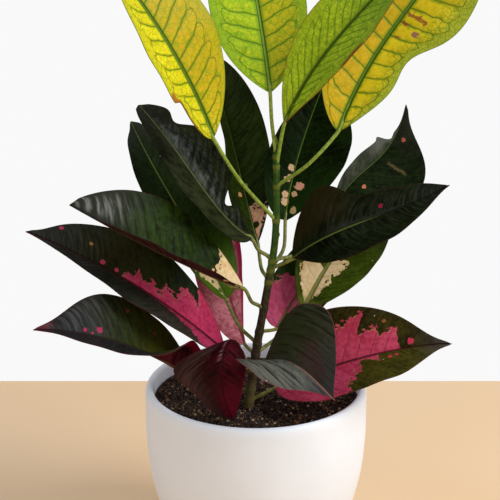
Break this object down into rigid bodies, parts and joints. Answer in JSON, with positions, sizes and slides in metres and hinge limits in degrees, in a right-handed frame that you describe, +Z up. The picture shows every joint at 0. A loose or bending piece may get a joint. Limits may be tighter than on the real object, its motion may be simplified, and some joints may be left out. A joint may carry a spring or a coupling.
{
  "type": "potted croton",
  "caption": "Potted croton: glossy variegated leaves in green, yellow, pink and wine red on an upright stem, growing from soil in a rounded matte white pot.",
  "frame": {"origin": "centre of the pot's flat foot, on the surface it stands on", "axes": "+Z up along the pot's axis, -Y towards the plant's front, +X to its right"},
  "size_m": [0.2726, 0.1511, 0.4262],
  "materials": {
    "pot": "smooth matte white ceramic glaze",
    "soil": "dry granular potting mix",
    "stem": "smooth young bark, brown below and green above",
    "leaf_yellow": "glossy leaf, yellow with green veins and edges",
    "leaf_green": "glossy leaf, fresh green with darker veins",
    "leaf_dark": "glossy leaf, blackish green with pink and cream flecks",
    "leaf_pink": "glossy leaf, dark green with a pink centre",
    "leaf_wine": "satin underside, wine red"
  },
  "bodies": {
    "root": {"pot": "pot", "soil": "soil", "stem": "stem", "leaf_yellow_left": "leaf_yellow", "leaf_yellow_top": "leaf_yellow", "leaf_yellow_right": "leaf_yellow", "leaf_green_top": "leaf_green", "leaf_wine_front": "leaf_wine", "leaf_pink_left": "leaf_pink", "leaf_pink_right": "leaf_pink", "leaf_pink_back_left": "leaf_pink", "leaf_pink_back_right": "leaf_pink", "leaf_dark_back_left": "leaf_dark", "leaf_dark_back_right": "leaf_dark", "leaf_dark_right_upper": "leaf_dark", "leaf_patch_right": "leaf_dark", "leaf_dark_left_upper": "leaf_dark", "leaf_patch_left": "leaf_dark", "leaf_dark_left": "leaf_dark", "leaf_low_left": "leaf_dark", "leaf_dark_front": "leaf_dark", "leaf_dark_right": "leaf_dark"}
  },
  "joints": []
}
